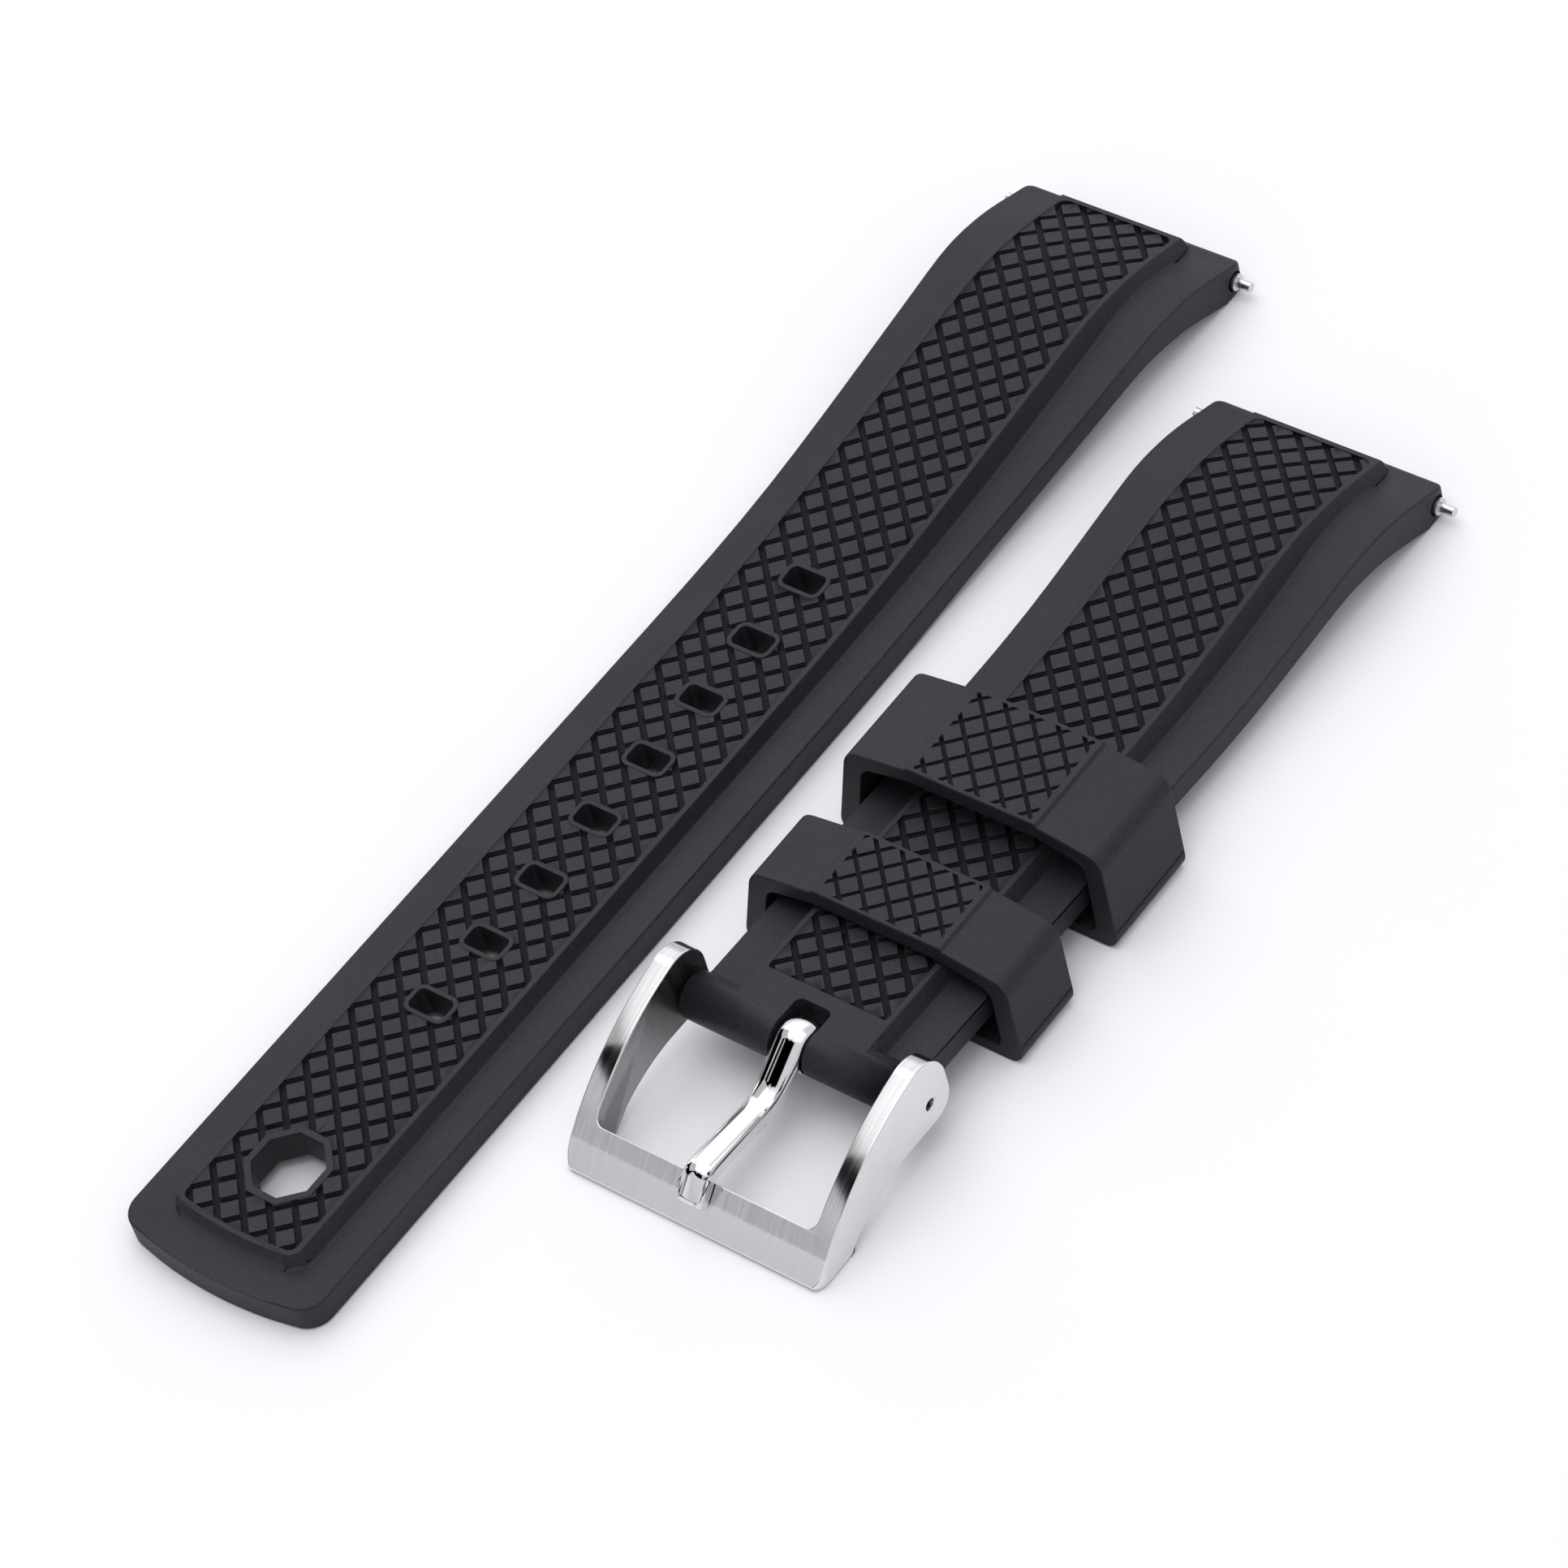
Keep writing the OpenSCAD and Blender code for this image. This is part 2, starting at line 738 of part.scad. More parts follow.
// Lower edge of the legs: from the table at the bar up to the ears
leg_low = [8.18, -1.97];
leg_low_r = 14;
bar_foot = 4.34;
frame_inner_r = 0.8;
module buckle_frame() {
    out_w = frame_gap + 2 * leg_t;
    front_z = -bar_drop - bar_top_w;
    side = [
        [-frame_reach, -pin_z, bar_toe_r],
        [-bar_slope_y, front_z, 0],
        [-bar_slope_y + leg_rise.x, front_z + leg_rise.y, leg_bend_r],
        [ear_reach, ear_top_z, ear_top_r],
        [ear_reach, ear_low_z, ear_low_r],
        [-frame_reach + leg_low.x, leg_low.y, leg_low_r],
        [-frame_reach + bar_foot, -pin_z, 0]
    ];
    color(steel)
        difference() {
            intersection() {
                across(wide)
                    polygon(rounded(side));
                translate([0, 0, -tall])
                    linear_extrude(2 * tall)
                        polygon(rounded([
                            [out_w / 2, -frame_reach, frame_corner_r],
                            [out_w / 2, frame_reach, 0],
                            [-out_w / 2, frame_reach, 0],
                            [-out_w / 2, -frame_reach, frame_corner_r]
                        ]));
            }
            translate([0, 0, -tall])
                linear_extrude(2 * tall)
                    polygon(rounded([
                        [frame_gap / 2, -bar_back, frame_inner_r],
                        [frame_gap / 2, frame_reach, 0],
                        [-frame_gap / 2, frame_reach, 0],
                        [-frame_gap / 2, -bar_back, frame_inner_r]
                    ]));
            cross_bore(0, 0, pin_hole_r);
        }
}

// Tongue of the buckle, drawn from the pin's axis: it leaves the curl, dips, and rises to the bar,
// whose top it then follows down
tongue_dip = [-4.9, -2.12];
tongue_dip_r = 3;
tongue_neck = [-1.17, 0.53];
tongue_back = [-0.7, 2];
tongue_seat_in = 0.09;
tongue_seat_r = 0.8;
tongue_overhang = 2.5;
tongue_tip_r = 0.3;
tongue_tip_top_r = 0.6;
// How far the corners of its upper side lie behind those below
tongue_dip_top = [-0.34, 0.04];
tongue_dip_top_r = 4;
tongue_seat_top = [-0.47, 0.05];
tongue_seat_top_r = 1.8;
// Where its sides begin to narrow and where its waist lies, with the radii there
tongue_root_y = -2.2;
tongue_root_r = 4;
tongue_waist_y = -6.5;
tongue_waist_r = 12;
tongue_wide_r = 6;
tongue_end_r = 1.1;
module buckle_tongue() {
    seat = [-bar_back + tongue_seat_in, -bar_drop + rest_gap * sqrt(2) + tongue_seat_in];
    dip_top = tongue_dip + tongue_dip_top + [0, tongue_t];
    seat_top = seat + tongue_seat_top + [0, tongue_t];
    tip = seat + tongue_overhang * unit([-1, -1]);
    lift = tongue_t * unit([-1, 1]);
    color(steel)
        difference() {
            intersection() {
                union() {
                    across(tongue_root_w)
                        polygon(rounded([
                            [0, curl_r, 0],
                            [tongue_back.x, curl_r, tongue_back.y],
                            [dip_top.x, dip_top.y, tongue_dip_top_r],
                            [seat_top.x, seat_top.y, tongue_seat_top_r],
                            [tip.x + lift.x, tip.y + lift.y, tongue_tip_top_r],
                            [tip.x, tip.y, tongue_tip_r],
                            [seat.x, seat.y, tongue_seat_r],
                            [tongue_dip.x, tongue_dip.y, tongue_dip_r],
                            [tongue_neck.x, tongue_neck.y, 0],
                            [0, 0, 0]
                        ]));
                    rotate([0, 90, 0])
                        cylinder(h = tongue_root_w, r = curl_r, center = true, $fn = 64);
                }
                translate([0, 0, -tall])
                    linear_extrude(2 * tall)
                        polygon(rounded(both_sides([
                            [tongue_root_w / 2, curl_r + past, 0],
                            [tongue_root_w / 2, tongue_root_y, tongue_root_r],
                            [tongue_waist_w / 2, tongue_waist_y, tongue_waist_r],
                            [tongue_tip_w / 2, seat.x, tongue_wide_r],
                            [tongue_tip_w / 2, tip.x + lift.x, tongue_end_r]
                        ])));
            }
            cross_bore(0, 0, bar_r + curl_gap);
        }
}

// Spring bar along x: the shoulders' outer faces lie at half_len on both sides
function tube_end(half_len) = half_len - shoulder_t - tip_travel - press_gap;
function collar_end(half_len) = tube_end(half_len) - roll_t - collar_gap;
module bar_tube(half_len) {
    tube_half = tube_end(half_len);
    color(steel)
        rotate([0, 90, 0])
            difference() {
                cylinder(h = 2 * tube_half, r = bar_r, center = true, $fn = 48);
                cylinder(h = 2 * (tube_half - roll_t), r = bar_r - bar_wall, center = true, $fn = 48);
                cylinder(h = 2 * tube_half + past, r = tip_r + stem_gap, center = true, $fn = 48);
            }
}

// Right pin of a spring bar: collar inside the tube, stem, shoulder and tip
module bar_pin(half_len) {
    collar_x = collar_end(half_len);
    color(steel)
        rotate([0, 90, 0]) {
            translate([0, 0, collar_x - collar_t])
                cylinder(h = collar_t, r = bar_r - bar_wall - collar_gap, $fn = 48);
            translate([0, 0, collar_x - collar_t])
                cylinder(h = half_len + tip_len - collar_x + collar_t, r = tip_r, $fn = 48);
            translate([0, 0, half_len - shoulder_t])
                cylinder(h = shoulder_t, r = bar_r, $fn = 48);
        }
}

module bar_spring(half_len) {
    coil_r = bar_r - bar_wall - collar_gap - spring_wire_r;
    spring_half = collar_end(half_len) - collar_t - collar_gap;
    color(steel)
        translate([-spring_half, 0, 0])
            rotate([0, 90, 0])
                linear_extrude(2 * spring_half, twist = 360 * spring_turns, slices = 8 * spring_turns)
                    translate([coil_r, 0])
                        circle(r = spring_wire_r, $fn = 6);
}

// Gap between a shoulder of the buckle's bar and the leg beside it
shoulder_gap = 0.1;
lug_bar_half = lug_w / 2 + shoulder_out;
buckle_bar_half = frame_gap / 2 - shoulder_gap;

module at_long() {
    translate([-lay_gap / 2, long_len / 2, 0])
        children();
}

module at_short() {
    translate([lay_gap / 2, long_len / 2 - lay_stagger, 0])
        children();
}

module at_long_bar() {
    at_long()
        translate([0, -lug_bar_s, lug_bar_z])
            children();
}

module at_short_bar() {
    at_short()
        translate([0, -lug_bar_s, lug_bar_z])
            children();
}

module at_buckle_pin() {
    at_short()
        translate([0, -short_len, pin_z])
            children();
}

// The left end of a bar is the right one's mirror image
module mirrored() {
    mirror([1, 0, 0])
        children();
}

at_long() hole_strap();
at_short() buckle_strap();
at_short() translate([0, -large_s, 0]) keeper_large();
at_short() translate([0, -small_s, 0]) keeper_small();
at_buckle_pin() buckle_frame();
at_buckle_pin() buckle_tongue();
at_long_bar() bar_tube(lug_bar_half);  // long_bar_tube
at_long_bar() bar_spring(lug_bar_half);  // long_bar_spring
at_long_bar() mirrored() bar_pin(lug_bar_half);  // long_bar_pin_left
at_long_bar() bar_pin(lug_bar_half);  // long_bar_pin_right
at_short_bar() bar_tube(lug_bar_half);  // short_bar_tube
at_short_bar() bar_spring(lug_bar_half);  // short_bar_spring
at_short_bar() mirrored() bar_pin(lug_bar_half);  // short_bar_pin_left
at_short_bar() bar_pin(lug_bar_half);  // short_bar_pin_right
at_buckle_pin() bar_tube(buckle_bar_half);  // buckle_bar_tube
at_buckle_pin() bar_spring(buckle_bar_half);  // buckle_bar_spring
at_buckle_pin() mirrored() bar_pin(buckle_bar_half);  // buckle_bar_pin_left
at_buckle_pin() bar_pin(buckle_bar_half);  // buckle_bar_pin_right
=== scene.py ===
import math
import random

import bmesh
import bpy
from mathutils import Matrix, Vector
from mathutils.bvhtree import BVHTree


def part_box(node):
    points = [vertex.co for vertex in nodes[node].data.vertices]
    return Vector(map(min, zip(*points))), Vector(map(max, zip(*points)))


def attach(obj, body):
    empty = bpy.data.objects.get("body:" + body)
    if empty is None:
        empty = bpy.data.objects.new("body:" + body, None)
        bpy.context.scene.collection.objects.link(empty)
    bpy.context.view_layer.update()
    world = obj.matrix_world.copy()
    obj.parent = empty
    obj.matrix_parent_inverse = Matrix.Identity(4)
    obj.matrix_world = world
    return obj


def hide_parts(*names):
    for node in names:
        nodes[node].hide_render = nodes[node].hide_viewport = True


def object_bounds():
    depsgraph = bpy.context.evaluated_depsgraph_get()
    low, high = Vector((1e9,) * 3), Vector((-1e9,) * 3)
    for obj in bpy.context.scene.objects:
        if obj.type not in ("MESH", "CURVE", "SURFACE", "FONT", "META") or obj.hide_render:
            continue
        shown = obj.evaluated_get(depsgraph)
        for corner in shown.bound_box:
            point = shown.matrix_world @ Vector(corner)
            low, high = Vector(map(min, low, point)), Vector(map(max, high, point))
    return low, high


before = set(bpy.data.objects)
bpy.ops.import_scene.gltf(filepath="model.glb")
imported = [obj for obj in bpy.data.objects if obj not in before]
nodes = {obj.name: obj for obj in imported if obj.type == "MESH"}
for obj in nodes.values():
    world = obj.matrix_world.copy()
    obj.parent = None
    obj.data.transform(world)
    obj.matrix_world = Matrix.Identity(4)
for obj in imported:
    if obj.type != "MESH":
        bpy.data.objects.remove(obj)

cad_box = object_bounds()
scene = bpy.context.scene
MM = 0.001


def at_mm(x, y, z):
    """A place in the frame, given in millimetres."""
    return Vector((x, y, z)) * MM


def centre(node):
    """The middle of a node's box, in millimetres."""
    low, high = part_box(node)
    return (low + high) / 2 / MM


def sine(angle):
    """The sine of an angle in degrees, which for an elevation is its height on a unit sphere."""
    return math.sin(math.radians(angle))


def cosine(angle):
    """The cosine of an angle in degrees."""
    return math.cos(math.radians(angle))


def placed(name, bm, finishes):
    """A new object in the scene, made from a working mesh, which is used up."""
    mesh = bpy.data.meshes.new(name)
    bm.to_mesh(mesh)
    bm.free()
    for finish in finishes:
        mesh.materials.append(finish)
    piece = bpy.data.objects.new(name, mesh)
    scene.collection.objects.link(piece)
    return piece


# The middles of the three spring bars, which lie across the two halves
bars = [centre(bar + "_bar_tube") for bar in ("long", "short", "buckle")]
pin = bars[2]


# ---------- camera ----------

def photograph_camera():
    """The photograph's viewpoint: high over the buckle, rolled a little."""
    azimuth, elevation, roll = 49.83, 47.415, -17.148
    back = Vector((sine(azimuth) * cosine(elevation), -cosine(azimuth) * cosine(elevation), sine(elevation)))
    level = Vector((0, 0, 1)).cross(back).normalized()
    steep = back.cross(level)
    right = cosine(roll) * level + sine(roll) * steep
    up = -sine(roll) * level + cosine(roll) * steep
    data = bpy.data.cameras.new("photograph_camera")
    data.sensor_width = 36
    data.lens = 139.75
    data.clip_start, data.clip_end = 0.01, 10
    camera = bpy.data.objects.new("photograph_camera", data)
    scene.collection.objects.link(camera)
    camera.rotation_mode = "QUATERNION"
    camera.rotation_quaternion = Matrix((right, up, back)).transposed().to_quaternion()
    camera.location = at_mm(243.75, -211.31, 355.2)
    scene.camera = camera


# ---------- finishes ----------

# The share of a noise's range, about its middle, that the tones and roughness follow
noise_low, noise_high = 0.3, 0.7


class Nodes:
    """A node tree, with short ways to add and join its nodes."""

    def __init__(self, tree):
        self.tree = tree

    def add(self, kind, **sets):
        """A new node, with its own settings and the values of its sockets."""
        node = self.tree.nodes.new("ShaderNode" + kind)
        for key, value in sets.items():
            if hasattr(node, key):
                setattr(node, key, value)
            else:
                node.inputs[key.replace("_", " ")].default_value = value
        return node

    def join(self, start, end):
        self.tree.links.new(start, end)

    def tones(self, value, *stops):
        """Colours by value: each stop is a value from 0 to 1 and its colour, in rising order."""
        node = self.add("ValToRGB")
        elements = node.color_ramp.elements
        for place, _ in stops[2:]:
            elements.new(place)
        for element, (place, tone) in zip(elements, stops):
            element.position, element.color = place, (*tone, 1)
        self.join(value, node.inputs["Fac"])
        return node.outputs["Color"]


class Finish(Nodes):
    """A material under way, on the object's own coordinates."""

    def __init__(self, name):
        self.mat = bpy.data.materials.new(name)
        self.mat.use_nodes = True
        super().__init__(self.mat.node_tree)
        self.shader = self.tree.nodes["Principled BSDF"]
        self.place = self.add("TexCoord").outputs["Object"]

    def give(self, socket, value):
        """Sets one of the shader's values, or joins a texture to it."""
        if isinstance(value, bpy.types.NodeSocket):
            self.join(value, self.shader.inputs[socket])
        else:
            self.shader.inputs[socket].default_value = value

    def noise(self, scale, detail, roughness=0.55):
        """Noise of about 1 mm, made finer along each axis by its scale."""
        mapping = self.add("Mapping", Scale=[s / MM for s in scale])
        self.join(self.place, mapping.inputs["Vector"])
        node = self.add("TexNoise", Scale=1, Detail=detail, Roughness=roughness)
        self.join(mapping.outputs["Vector"], node.inputs["Vector"])
        return node.outputs["Fac"]

    def spread(self, value, low, high):
        """A noise turned into values from low to high."""
        node = self.add("MapRange", From_Min=noise_low, From_Max=noise_high, To_Min=low, To_Max=high)
        self.join(value, node.inputs["Value"])
        return node.outputs["Result"]

    def shades(self, value, low, high):
        """A noise turned into colours from low to high."""
        return self.tones(value, (noise_low, low), (noise_high, high))

    def times(self, first, second):
        """Two colours multiplied."""
        node = self.add("Mix", data_type="RGBA", blend_type="MULTIPLY", Factor=1)
        self.join(first, node.inputs["A"])
        self.join(second, node.inputs["B"])
        return node.outputs["Result"]

    def bump(self, height, distance_mm, strength, below=None):
        """A bumped normal, over another one where `below` gives it."""
        node = self.add("Bump", Strength=strength, Distance=distance_mm * MM)
        self.join(height, node.inputs["Height"])
        if below is not None:
            self.join(below, node.inputs["Normal"])
        return node.outputs["Normal"]


def rubber(name, tone, gloss=0.36):
    """Moulded black rubber: bluish charcoal, matt, with the fine grain of the mould."""
    f = Finish(name)
    cloud = f.noise((0.12, 0.12, 0.12), 4)
    dust = f.noise((4.5, 4.5, 4.5), 3, 0.7)
    shade = f.shades(
        cloud,
        (tone * 0.88, tone * 0.95, tone * 1.25),
        (tone * 1.08, tone * 1.16, tone * 1.5),
    )
    specks = f.tones(dust, (0.36, (0.6, 0.6, 0.6)), (0.66, (1.5, 1.5, 1.5)))
    f.give("Base Color", f.times(shade, specks))
    f.give("Roughness", f.spread(cloud, 0.5, 0.58))
    f.give("Specular IOR Level", gloss)
    grain = f.noise((7, 7, 7), 3)
    fine = f.bump(grain, 0.02, 0.6)
    f.give("Normal", f.bump(dust, 0.03, 0.5, fine))
    return f.mat


def brushed_steel(name, along, tone, low=0.08, high=0.13, depth=0.0012, streak=0.05):
    """Steel brushed along one direction: `along` is how fine the marks are on each axis.

    `low` and `high` are its roughness, `depth` that of the marks in millimetres, and `streak` how much they
    change its tone."""
    f = Finish(name)
    marks = f.noise(along, 5, 0.65)
    broad = f.noise([a * 0.25 for a in along], 2)
    f.give("Base Color", f.shades(marks, [tone * (1 - streak)] * 3, [tone * (1 + streak)] * 3))
    f.give("Metallic", 1)
    f.give("Roughness", f.spread(broad, low, high))
    f.give("Normal", f.bump(marks, depth, 0.6))
    return f.mat


def polished_steel(name, rough):
    """Mirror-polished steel with the faint unevenness that polishing leaves."""
    tone = 0.72
    f = Finish(name)
    waves = f.noise((0.5, 0.5, 0.5), 2)
    smear = f.noise((2.5, 2.5, 2.5), 3)
    shade = f.shades(
        waves,
        (tone * 0.97, tone * 0.975, tone * 0.98),
        (tone * 1.02, tone * 1.025, tone * 1.03),
    )
    f.give("Base Color", shade)
    f.give("Metallic", 1)
    f.give("Roughness", f.spread(smear, rough * 0.7, rough * 1.5))
    f.give("Normal", f.bump(waves, 0.01, 0.25))
    return f.mat


def pale_paper():
    """Matt paper, very slightly cloudy."""
    f = Finish("pale_paper")
    cloud = f.noise((0.02, 0.02, 0.02), 2)
    f.give("Base Color", f.shades(cloud, (0.88, 0.885, 0.895), (0.89, 0.895, 0.905)))
    f.give("Roughness", 0.9)
    f.give("Specular IOR Level", 0.1)
    return f.mat


# ---------- studio ----------

def studio_floor():
    """Pale seamless sheet that the strap lies on, at the height of the solids' lowest point."""
    bm = bmesh.new()
    table = Matrix.Translation((0, 0, cad_box[0][2]))
    bmesh.ops.create_grid(bm, x_segments=1, y_segments=1, size=3, matrix=table)
    placed("studio_sheet", bm, [pale_paper()])


def softbox(name, place, aim, size, power):
    """Square soft light in metres, turned towards a point."""
    data = bpy.data.lights.new(name, "AREA")
    data.shape = "RECTANGLE"
    data.size, data.size_y = size
    data.energy = power
    light = bpy.data.objects.new(name, data)
    scene.collection.objects.link(light)
    light.location = place
    light.rotation_euler = (Vector(aim) - Vector(place)).to_track_quat("-Z", "Y").to_euler()


sky_tint = (1, 1.01, 1.05)
none, full = (0, 0, 0), (1, 1, 1)


def tinted(tone):
    """A grey with the studio's faint blue."""
    return tuple(tone * share for share in sky_tint)


def studio_tent(strength, heights, cards):
    """Even light from all round: a tone for each elevation, and cards that hang before it.

    A card is (azimuth, half its width, soft edge, four elevations between which it comes and goes, tone).
    Elevations below the horizon count as 0."""
    world = bpy.data.worlds.new("studio_tent")
    scene.world = world
    world.use_nodes = True
    tent = Nodes(world.node_tree)
    where = tent.add("TexCoord").outputs["Generated"]
    apart = tent.add("SeparateXYZ")
    tent.join(where, apart.inputs["Vector"])

    def by_height(stops):
        """Colours by elevation."""
        return tent.tones(apart.outputs["Z"], *((sine(angle), tone) for angle, tone in stops))

    flat = tent.add("VectorMath", operation="MULTIPLY")
    flat.inputs[1].default_value = (1, 1, 0)
    tent.join(where, flat.inputs[0])
    heading = tent.add("VectorMath", operation="NORMALIZE")
    tent.join(flat.outputs["Vector"], heading.inputs[0])

    light = by_height([(angle, tinted(tone)) for angle, tone in heights])
    for azimuth, half, soft, band, tone in cards:
        near = tent.add("VectorMath", operation="DOT_PRODUCT")
        near.inputs[1].default_value = (cosine(azimuth), sine(azimuth), 0)
        tent.join(heading.outputs["Vector"], near.inputs[0])
        share = tent.add(
            "MapRange", interpolation_type="SMOOTHSTEP", From_Min=cosine(half + soft), From_Max=cosine(half)
        )
        tent.join(near.outputs["Value"], share.inputs["Value"])
        shown = tent.add("Math", operation="MULTIPLY")
        tent.join(share.outputs["Result"], shown.inputs[0])
        tent.join(by_height(zip(band, (none, full, full, none))), shown.inputs[1])
        mix = tent.add("Mix", data_type="RGBA")
        tent.join(shown.outputs["Value"], mix.inputs["Factor"])
        tent.join(light, mix.inputs["A"])
        mix.inputs["B"].default_value = (*tinted(tone), 1)
        light = mix.outputs["Result"]
    background = tent.tree.nodes["Background"]
    tent.join(light, background.inputs["Color"])
    background.inputs["Strength"].default_value = strength


photograph_camera()
studio_floor()
studio_tent(
    strength=1.35,
    heights=[(0, 0.6), (17, 0.72), (25, 0.52), (33, 0.64), (40, 0.6), (55, 0.62), (66, 0.85), (75, 1.8)],
    cards=[
        (132, 28, 15, (15, 28, 65, 78), 1.15),
        (-137, 42, 16, (40.5, 42, 50, 55), 0.0),
        (-166, 20, 7, (6, 12, 44, 50), 0.0),
        (-104, 14, 6, (38, 43, 57, 61), 0.0),
        (-112, 30, 12, (-8, -4, 6, 11), 0.03),
        (20, 25, 25, (-40, -30, 20, 35), 0.5),
    ],
)
softbox("key_box", place=(-0.6, -0.05, 0.75), aim=(0, 0, 0), size=(0.8, 0.8), power=1.3)
scene.view_settings.view_transform = "Standard"

strap_rubber = rubber("strap_rubber", 0.009)
# A darker copy of the strap's rubber: painted shade, for the floors and walls of the grooves between the pads,
# and for the keepers' parting lines
painted_shade_rubber = rubber("painted_shade_rubber", 0.005, gloss=0.12)
bar_steel = brushed_steel("bar_steel", (12, 0.3, 0.3), 0.62, 0.18, 0.28, 0.002)
# Nearly black steel for the buckle bar's pin tips: painted shade in the pin holes of the frame's legs
hole_shade_steel = brushed_steel("hole_shade_tip_steel", (3, 3, 3), 0.02, 0.45, 0.55, 0.002)
top_steel = brushed_steel("frame_top_steel", (5, 0.14, 0.14), 0.55, depth=0.0035, streak=0.13)
satin_steel = brushed_steel("frame_satin_steel", (7, 0.3, 0.3), 0.75, 0.28, 0.36, 0.0004, 0.03)
# A darker copy of the frame's steel for the legs' inner sides: painted shade on the sides that face each other
# across the buckle's window
shaded_inner_steel = brushed_steel("frame_inner_shade_steel", (2, 5, 0.3), 0.33, 0.25, 0.35, 0.0002)
edge_steel = polished_steel("edge_steel", 0.05)
tongue_steel = polished_steel("tongue_steel", 0.03)


# ---------- rounded copies of the solids ----------

weld_gap = 0.02 * MM
flat_angle = math.radians(0.3)
slice_len = 4 * MM
long_face = 9 * MM
crisp_angle = math.radians(32)
bend_angle = math.radians(12)


def reach(face):
    """How far a face reaches along the strap."""
    along = [vert.co.y for vert in face.verts]
    return max(along) - min(along)


def middle(edge):
    """The middle of an edge, in millimetres."""
    return (edge.verts[0].co + edge.verts[1].co) / 2 / MM


def bends(edge, angle):
    """Whether the two faces at an edge meet at more than an angle."""
    return len(edge.link_faces) == 2 and edge.calc_face_angle() > angle


def welded(node):
    """A merged copy of a CAD node's loose triangles, with its flat faces whole, except that on the straps they
    are cut where they are long.
    """
    bm = bmesh.new()
    bm.from_mesh(nodes[node].data)
    bmesh.ops.remove_doubles(bm, verts=bm.verts, dist=weld_gap)
    bmesh.ops.dissolve_limit(bm, angle_limit=flat_angle, verts=bm.verts, edges=bm.edges, delimit={"NORMAL"})
    low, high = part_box(node)
    slices = int((high.y - low.y) / slice_len) if "strap" in node else 0
    for i in range(1, slices):
        cut = Vector((0, low.y + (high.y - low.y) * i / slices, 0))
        faces = [f for f in bm.faces if reach(f) > long_face]
        around = list({part for f in faces for part in (*f.edges, *f.verts)})
        bmesh.ops.bisect_plane(bm, geom=faces + around, plane_co=cut, plane_no=(0, 1, 0))
    return bm


def rounded_copy(node, name, body, finishes, radius, rounds, shape=None, pick=None):
    """Stands for a CAD node, with each crisp edge rounded by as many millimetres as `radius` gives for it.

    `rounds` is the number of segments of a rounded edge, and `shape` changes the form before the rounding.
    `pick` gives the number of a face's finish, and the last finish is that of the rounded edges."""
    bm = welded(node)
    if shape:
        shape(bm)
    weight = bm.edges.layers.float.new("bevel_weight_edge")
    sizes = {e: radius(e) for e in bm.edges if bends(e, crisp_angle)}
    widest = max(sizes.values())
    for edge, size in sizes.items():
        edge[weight] = size / widest
    for face in bm.faces:
        face.smooth = True
        face.material_index = pick(face) if pick else 0
    piece = placed(name, bm, finishes)
    # The solids' own normals would hide the new ones
    if "custom_normal" in piece.data.attributes:
        piece.data.attributes.remove(piece.data.attributes["custom_normal"])
    bevel = piece.modifiers.new("rounded_edges", "BEVEL")
    bevel.limit_method = "WEIGHT"
    bevel.width = widest * MM
    bevel.segments = rounds
    bevel.use_clamp_overlap = False
    bevel.material = len(finishes) - 1
    shading = piece.modifiers.new("even_shading", "WEIGHTED_NORMAL")
    shading.mode = "FACE_AREA"
    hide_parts(node)
    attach(piece, body)


# ---------- the rubber: two halves and two keepers ----------

# Half breadths in millimetres, from the bars' middles: of the fine edges, and of the faces of a raised panel
panel_reach = 6.6
panel_half = 7.4
# How far round a bar's axis its bore's edges lie, and how far from the buckle's bar the eye's ends reach
bore_reach = 1.1
eye_reach = 2.65
bore_round = 0.05
body_round = 0.2
panel_round = 0.055

# A keeper's front and back are the upright faces over this area in square millimetres
end_tilt = 0.9
end_area = 10
short_edge = 0.3
keeper_end_round = 0.12
keeper_pad_round = 0.035

level_tilt = 0.5
# Finish numbers: the body's rubber, and the darker rubber that is painted shade in the grooves
body_finish, painted_shade_finish = 0, 1


def rubber_edge(edge):
    """Fine edges on the pads, holes and rims of the panels, rounder ones on the bodies, and crisp grooves.

    The eye's ends stay crisp too, because rounds on their short edges would cross."""
    place = middle(edge)
    if min(math.hypot(place.y - bar.y, place.z - bar.z) for bar in bars) < bore_reach:
        return bore_round
    on_eye = place.x > 0 and place.y < pin.y + eye_reach
    if on_eye and abs(place.x - pin.x) > panel_reach:
        return 0
    if min(abs(place.x - bar.x) for bar in bars) > panel_reach:
        return body_round
    return panel_round if edge.is_convex else 0


def keeper_edge(edge):
    """The keepers' ends are rounded all along, and the pads on their tops are left crisper."""
    if any(abs(f.normal.y) > end_tilt and f.calc_area() > end_area * MM * MM for f in edge.link_faces):
        return keeper_end_round
    return keeper_pad_round if edge.is_convex and edge.calc_length() > short_edge * MM else 0


def in_panel(face):
    """Whether a face lies wholly within the breadth of a raised panel."""
    return all(min(abs(vert.co.x / MM - bar.x) for bar in bars) < panel_half for vert in face.verts)


def is_floor(face):
    """Whether a face is the floor of a groove, over which every edge around it stands."""
    around = [e for e in face.edges if bends(e, bend_angle)]
    level = abs(face.normal.z) > level_tilt
    return in_panel(face) and level and bool(around) and not any(e.is_convex for e in around)


def groove(face):
    """The grooves between the pads get a darker rubber that is painted shade: their floors, and the walls that
    rise from them.
    """
    if not in_panel(face):
        return body_finish
    feet = (e for e in face.edges if bends(e, crisp_angle) and not e.is_convex)
    if is_floor(face) or any(is_floor(other) for e in feet for other in e.link_faces):
        return painted_shade_finish
    return body_finish


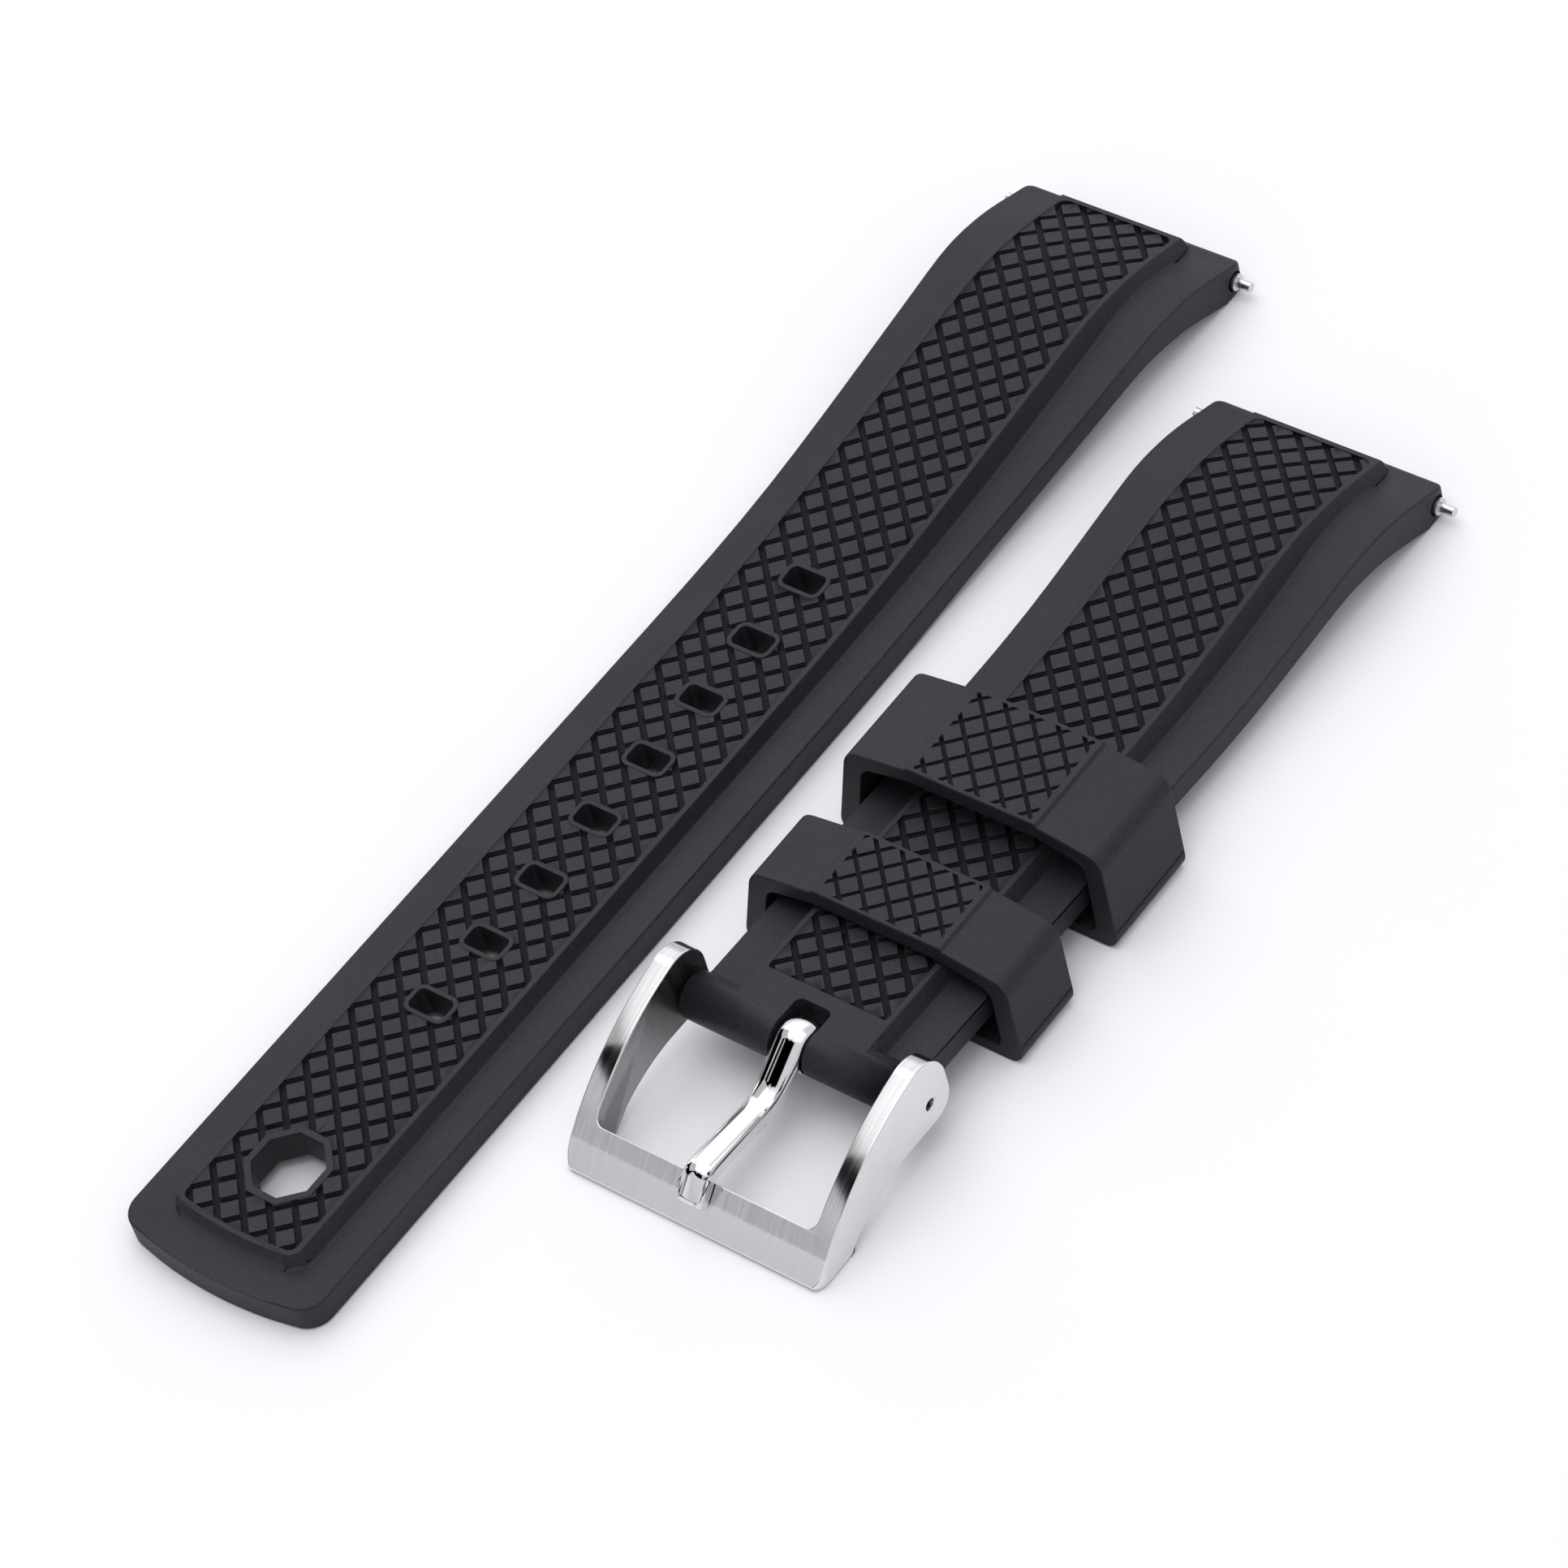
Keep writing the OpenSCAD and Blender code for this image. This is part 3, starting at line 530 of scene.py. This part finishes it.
# ---------- the buckle: frame and tongue ----------

# The low corners between the bar and the legs: under this height, and so near the pin along and across the strap
corner_top = 1
corner_reach = 13
corner_half = 11
frame_round = 0.15

side_tilt = 0.7
front_tilt = 0.73
top_finish, satin_finish, inner_shade_finish = 0, 1, 2

tongue_half_w = 1.45
tip_reach = 13.2
curl_reach = 1
crown_depth = 0.45
crown_cuts = (-0.75, -0.55, -0.35, -0.12, 0.12, 0.35, 0.55, 0.75)
flank_tilt = 0.5
upward_tilt = 0.2
tongue_tip_round = 0.1
tongue_long_round = 0.35
tongue_cross_round = 0.2
# The ends of a lengthwise edge lie less than this apart across the tongue, in millimetres
side_step = 0.3


def frame_edge(edge):
    """Small polished bevels on the outer edges, but none in the low corners between the bar and the legs."""
    place = middle(edge)
    near_bar = place.z < corner_top and place.y > pin.y - corner_reach
    low_corner = near_bar and abs(place.x - pin.x) < corner_half
    return 0 if low_corner or not edge.is_convex else frame_round


def frame_face(face):
    """Brushed tops, a satin front and satin sides, and a darker steel on the legs' inner sides, which is painted
    shade.
    """
    place = face.calc_center_median() / MM
    if abs(face.normal.x) > side_tilt:
        return inner_shade_finish if face.normal.x * (place.x - pin.x) < 0 else satin_finish
    return satin_finish if face.normal.y < -front_tilt else top_finish


def is_outer(face):
    """Whether a face of the tongue looks up or, on the curl, away from the pin."""
    place = face.calc_center_median() / MM
    spoke = Vector((0, place.y - pin.y, place.z - pin.z))
    if abs(face.normal.x) > flank_tilt:
        return False
    if place.y > pin.y - curl_reach:
        return face.normal.dot(spoke) > 0
    return face.normal.z > upward_tilt


def crown_tongue(bm):
    """Bows the tongue's outer face across its width, as polishing leaves it."""
    for share in crown_cuts:
        cut = at_mm(pin.x + share * tongue_half_w, 0, 0)
        parts = bm.verts[:] + bm.edges[:] + bm.faces[:]
        bmesh.ops.bisect_plane(bm, geom=parts, plane_co=cut, plane_no=(1, 0, 0))
    inward = {}
    for vert in bm.verts:
        outer = [f.normal for f in vert.link_faces if is_outer(f)]
        if outer:
            share = abs(vert.co.x / MM - pin.x) / tongue_half_w
            inward[vert] = -sum(outer, Vector()).normalized() * crown_depth * share ** 2 * MM
    for vert, move in inward.items():
        vert.co += move


def tongue_edge(edge):
    """Wide rounds along the tongue's outer face, less across it, and fine ones at the tip and underneath."""
    if middle(edge).y < pin.y - tip_reach or not any(is_outer(face) for face in edge.link_faces):
        return tongue_tip_round
    lengthwise = abs(edge.verts[0].co.x - edge.verts[1].co.x) < side_step * MM
    return tongue_long_round if lengthwise else tongue_cross_round


# The second rubber is painted shade in the grooves; the rounded edges take the first
rubbers = [strap_rubber, painted_shade_rubber, strap_rubber]
rounded_copy("hole_strap", "hole_half_rubber", "hole_half", rubbers, rubber_edge, 2, pick=groove)
rounded_copy("buckle_strap", "buckle_half_rubber", "buckle_half", rubbers, rubber_edge, 2, pick=groove)
for size in ("large", "small"):
    rounded_copy(
        "keeper_" + size, size + "_keeper_loop", size + "_keeper", rubbers, keeper_edge, 3, pick=groove
    )
rounded_copy(
    "buckle_frame", "ground_frame", "buckle",
    [top_steel, satin_steel, shaded_inner_steel, edge_steel], frame_edge, 2, pick=frame_face,
)
rounded_copy(
    "buckle_tongue", "polished_tongue", "tongue",
    [tongue_steel], tongue_edge, 4, shape=crown_tongue,
)


# ---------- the keepers' parting lines ----------

# In millimetres: the line's height, the step between two rings, how far a ring strays up or down at most, and
# how far from the keeper's middle the ray starts that finds the wall
seam_height = 1.6
seam_step = 0.1
seam_jitter = 0.02
seam_start = 20
# A ring's corners: how far out of the wall and how far up it, in millimetres
seam_section = ((-0.06, -0.1), (0.028, -0.06), (0.028, 0.05), (-0.06, 0.08))
wall_tilt = 0.3
seam_seed = 7


def skin(bm, rings):
    """Closes a row of rings to a solid bar."""
    for first, second in zip(rings, rings[1:]):
        for a in range(len(first)):
            b = (a + 1) % len(first)
            bm.faces.new((first[a], first[b], second[b], second[a]))
    bm.faces.new(rings[0])
    bm.faces.new(rings[-1])


def parting_line(node, name, body):
    """The thin ragged seam that the mould leaves near the foot of a keeper's two side walls."""
    solid = bmesh.new()
    solid.from_mesh(nodes[node].data)
    wall = BVHTree.FromBMesh(solid)
    solid.free()
    low, high = (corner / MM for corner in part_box(node))
    draw = random.Random(seam_seed)
    bm = bmesh.new()
    for side in (-1, 1):
        rings = []
        for i in range(int((high.y - low.y) / seam_step)):
            height = seam_height + draw.uniform(-seam_jitter, seam_jitter)
            start = at_mm((low.x + high.x) / 2 + side * seam_start, low.y + i * seam_step, height)
            place, normal, _, _ = wall.ray_cast(start, (-side, 0, 0))
            if place is None or abs(normal.x) < wall_tilt or abs(normal.y) > wall_tilt:
                continue
            upward = Vector((0, 1, 0)).cross(normal).normalized()
            rings.append([bm.verts.new(place + (normal * out + upward * up) * MM) for out, up in seam_section])
        # The first and the last ring can lie on a corner
        skin(bm, rings[1:-1])
    bmesh.ops.delete(bm, geom=[v for v in bm.verts if not v.link_faces], context="VERTS")
    bmesh.ops.recalc_face_normals(bm, faces=bm.faces)
    # The seam is drawn in the darker rubber, painted shade, so that it reads as a dark line along the wall
    seam = placed(name, bm, [painted_shade_rubber])
    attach(seam, body)


for size in ("large", "small"):
    parting_line("keeper_" + size, size + "_keeper_parting_line", size + "_keeper")


# ---------- the spring bars, which keep the solids' own form ----------

for name, node in nodes.items():
    if "_bar_" in name:
        node.data.materials.clear()
        # The buckle bar's pin tips take the nearly black steel, painted shade in the pin holes
        node.data.materials.append(hole_shade_steel if name.startswith("buckle_bar_pin") else bar_steel)
